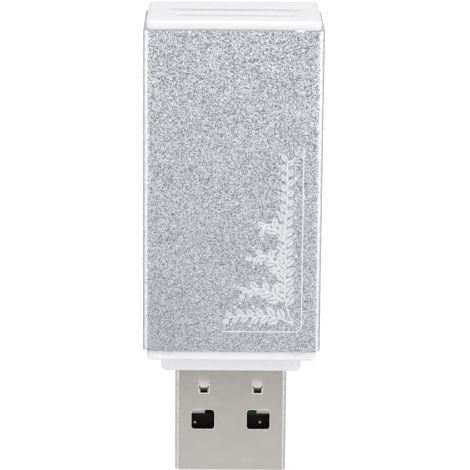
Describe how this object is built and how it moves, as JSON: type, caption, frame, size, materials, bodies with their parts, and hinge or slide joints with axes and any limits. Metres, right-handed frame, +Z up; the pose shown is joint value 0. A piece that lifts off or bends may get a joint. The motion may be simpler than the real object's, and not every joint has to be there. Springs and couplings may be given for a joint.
{
  "type": "memory card reader",
  "caption": "Pocket memory card reader: a metal sleeve with card slots in one end and both long sides, and a rectangular plug on the other end.",
  "frame": {"origin": "centre of the sleeve's underside, the face that the reader lies on", "axes": "+X across the width, to the right in the picture; +Y along the length, from the plug to the end slots; +Z up through the printed face"},
  "size_m": [0.0188, 0.0503, 0.013],
  "materials": {
    "blasted_aluminium": "silvery blue-grey, sand-blasted and anodised, with a fine sparkle",
    "white_plastic": "white moulded plastic, satin gloss",
    "nickel_plated_steel": "warm grey nickel plate, lightly brushed",
    "dark_plastic": "near-black moulded plastic",
    "gilt_contact": "gold-plated spring metal",
    "green_laminate": "green solder mask on glass laminate",
    "black_plastic": "black glass-filled plastic",
    "socket_steel": "bright stamped stainless sheet",
    "chip_epoxy": "black moulding compound",
    "tinned_copper": "tin plate",
    "crystal_can": "nickel-plated can",
    "capacitor_ceramic": "tan ceramic",
    "resistor_ceramic": "black glaze on ceramic",
    "led_resin": "clear resin"
  },
  "bodies": {
    "root": {"sleeve": "blasted_aluminium", "slot_bezel": "white_plastic", "plug_collar": "white_plastic", "plug_shell": "nickel_plated_steel", "plug_insulator": "dark_plastic", "power_contact": "gilt_contact", "data_minus_contact": "gilt_contact", "data_plus_contact": "gilt_contact", "ground_contact": "gilt_contact", "circuit_board": "green_laminate", "upper_socket_base": "black_plastic", "upper_socket_cover": "socket_steel", "upper_socket_contacts": "gilt_contact", "lower_socket_base": "black_plastic", "lower_socket_cover": "socket_steel", "lower_socket_contacts": "gilt_contact", "wide_card_frame": "black_plastic", "wide_card_contacts": "gilt_contact", "thick_card_frame": "black_plastic", "thick_card_contacts": "gilt_contact", "controller_chip": "chip_epoxy", "controller_leads": "tinned_copper", "crystal": "crystal_can", "capacitors": "capacitor_ceramic", "resistors": "resistor_ceramic", "status_led": "led_resin"}
  },
  "joints": []
}
